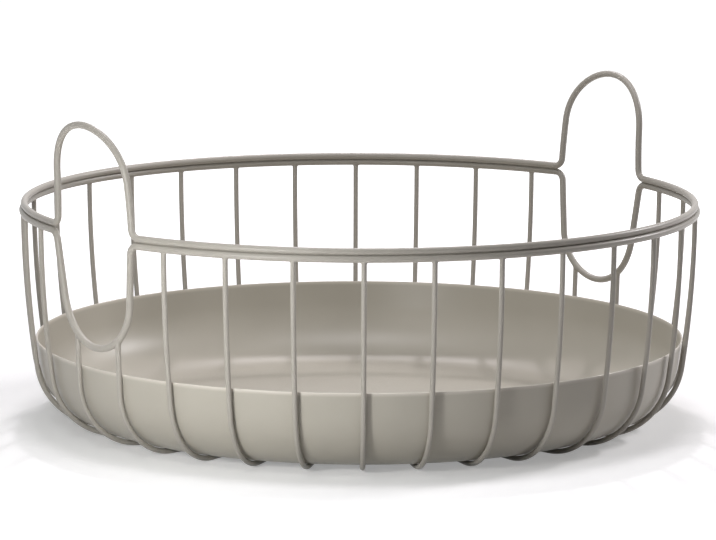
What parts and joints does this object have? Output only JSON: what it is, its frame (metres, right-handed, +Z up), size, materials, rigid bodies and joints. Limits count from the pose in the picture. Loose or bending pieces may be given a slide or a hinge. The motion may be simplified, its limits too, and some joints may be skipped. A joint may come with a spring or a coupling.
{
  "type": "wire basket",
  "caption": "Round basket of welded wire ribs round a shallow sheet metal tray, with a double wire rim that bends into two looped handles.",
  "frame": {"origin": "on the surface that the basket stands on, under the middle of the rim", "axes": "+Z up, +X through the middle of one handle, +Y across to the middle of a plain side"},
  "size_m": [0.4086, 0.4, 0.1923],
  "materials": {
    "coated_wire": "satin powder coat",
    "coated_sheet": "satin powder coat"
  },
  "bodies": {
    "root": {"upper_rim_wire": "coated_wire", "lower_rim_wire": "coated_wire", "rib_01": "coated_wire", "rib_02": "coated_wire", "rib_03": "coated_wire", "rib_04": "coated_wire", "rib_05": "coated_wire", "rib_06": "coated_wire", "rib_07": "coated_wire", "rib_08": "coated_wire", "rib_09": "coated_wire", "rib_10": "coated_wire", "rib_11": "coated_wire", "rib_12": "coated_wire", "rib_13": "coated_wire", "rib_14": "coated_wire", "rib_15": "coated_wire", "rib_16": "coated_wire", "rib_17": "coated_wire", "rib_18": "coated_wire", "rib_19": "coated_wire", "rib_20": "coated_wire", "rib_21": "coated_wire", "rib_22": "coated_wire", "rib_23": "coated_wire", "rib_24": "coated_wire", "rib_25": "coated_wire", "rib_26": "coated_wire", "rib_27": "coated_wire", "rib_28": "coated_wire", "short_rib_1": "coated_wire", "short_rib_2": "coated_wire", "short_rib_3": "coated_wire", "short_rib_4": "coated_wire", "base_ring": "coated_wire", "tray": "coated_sheet"}
  },
  "joints": []
}
